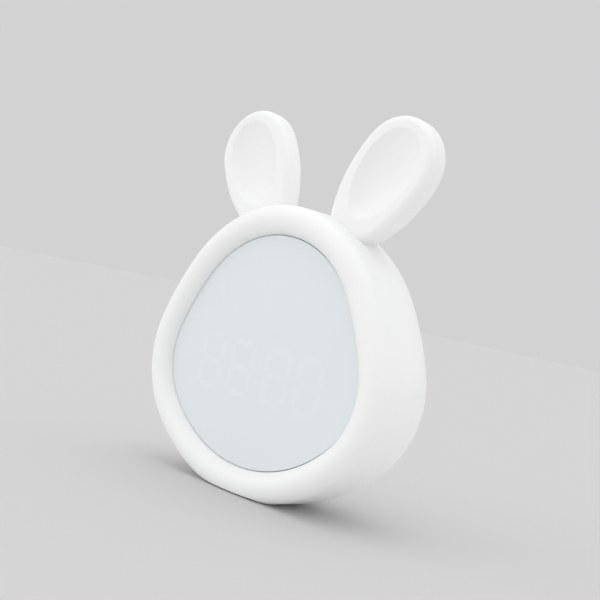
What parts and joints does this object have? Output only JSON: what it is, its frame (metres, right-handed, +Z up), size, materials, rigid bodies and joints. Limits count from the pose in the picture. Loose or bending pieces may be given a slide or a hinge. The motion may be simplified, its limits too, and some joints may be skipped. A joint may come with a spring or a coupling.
{
  "type": "alarm clock",
  "caption": "Rounded bedside alarm clock with a night light, two outward ears, a recessed digit display and rear buttons.",
  "frame": {"origin": "on the table, below the middle of the body, at the bottom centre of the whole clock", "axes": "+X to the right seen from the front, +Y from the display to the back, +Z up; the display faces -Y"},
  "size_m": [0.12, 0.046, 0.1452],
  "materials": {
    "white_housing": "satin white moulded plastic",
    "ear_white": "satin white moulded plastic",
    "lens_panel": "smooth pale grey panel",
    "button_white": "satin",
    "knob_grey": "satin",
    "foot_rubber": "matte",
    "inner_plastic": "plain moulded",
    "mask_black": "matte",
    "film": "matt diffusing film",
    "board_green": "solder mask",
    "led_white": "moulded",
    "screw_steel": "zinc plated",
    "switch_black": "matte",
    "stem_black": "matte",
    "socket_steel": "plated",
    "socket_white": "moulded",
    "copper": "foil",
    "speaker_metal": "pressed",
    "speaker_paper": "pressed pulp",
    "cell_blue": "shrink sleeve",
    "lead_red": "insulated lead",
    "lead_black": "insulated lead",
    "ribbon_grey": "flat cable"
  },
  "bodies": {
    "clock": {"alarm_switch_case": "switch_black", "battery_cell": "cell_blue", "battery_contacts": "socket_steel", "battery_cradle": "inner_plastic", "battery_lead": "lead_red", "button_switches": "switch_black", "capacitors": "switch_black", "case_screws": "screw_steel", "clock_crystal": "socket_steel", "control_chip": "switch_black", "cradle_screws": "screw_steel", "digit_mask": "mask_black", "display_board": "board_green", "display_film": "film", "display_lens": "lens_panel", "display_ribbon": "ribbon_grey", "display_screws": "screw_steel", "ear_left": "ear_white", "ear_right": "ear_white", "ear_screws": "screw_steel", "ear_washers": "screw_steel", "foot_pad": "foot_rubber", "front_housing": "white_housing", "lead_sockets": "socket_white", "lens_retainer": "inner_plastic", "main_board": "board_green", "main_board_screws": "screw_steel", "night_light_board": "board_green", "night_light_lead": "lead_black", "night_light_leds": "led_white", "night_light_screws": "screw_steel", "rear_cover": "white_housing", "retainer_screws": "screw_steel", "segment_lights": "led_white", "speaker_cone": "speaker_paper", "speaker_frame": "speaker_metal", "speaker_lead": "lead_black", "speaker_magnet": "speaker_metal", "speaker_screws": "screw_steel", "touch_contact": "socket_steel", "touch_plate": "copper", "usb_socket": "socket_steel"},
    "time_button_body": {"time_button": "button_white", "time_stem": "stem_black"},
    "alarm_button_body": {"alarm_button": "button_white", "alarm_stem": "stem_black"},
    "down_button_body": {"down_button": "button_white", "down_stem": "stem_black"},
    "up_button_body": {"up_button": "button_white", "up_stem": "stem_black"},
    "light_button_body": {"light_button": "button_white", "light_stem": "stem_black"},
    "alarm_knob_body": {"alarm_knob": "knob_grey"}
  },
  "joints": [
    {"name": "time_press", "type": "slide", "parent": "clock", "child": "time_button_body", "axis": [0, -1, 0], "range_m": [0, 0.0008], "stiffness_N_per_m": 500, "springref_m": -0.0005},
    {"name": "alarm_press", "type": "slide", "parent": "clock", "child": "alarm_button_body", "axis": [0, -1, 0], "range_m": [0, 0.0008], "stiffness_N_per_m": 500, "springref_m": -0.0005},
    {"name": "down_press", "type": "slide", "parent": "clock", "child": "down_button_body", "axis": [0, -1, 0], "range_m": [0, 0.0008], "stiffness_N_per_m": 500, "springref_m": -0.0005},
    {"name": "up_press", "type": "slide", "parent": "clock", "child": "up_button_body", "axis": [0, -1, 0], "range_m": [0, 0.0008], "stiffness_N_per_m": 500, "springref_m": -0.0005},
    {"name": "light_press", "type": "slide", "parent": "clock", "child": "light_button_body", "axis": [0, -1, 0], "range_m": [0, 0.0008], "stiffness_N_per_m": 500, "springref_m": -0.0005},
    {"name": "alarm_slide", "type": "slide", "parent": "clock", "child": "alarm_knob_body", "axis": [1, 0, 0], "range_m": [0, 0.003]}
  ]
}
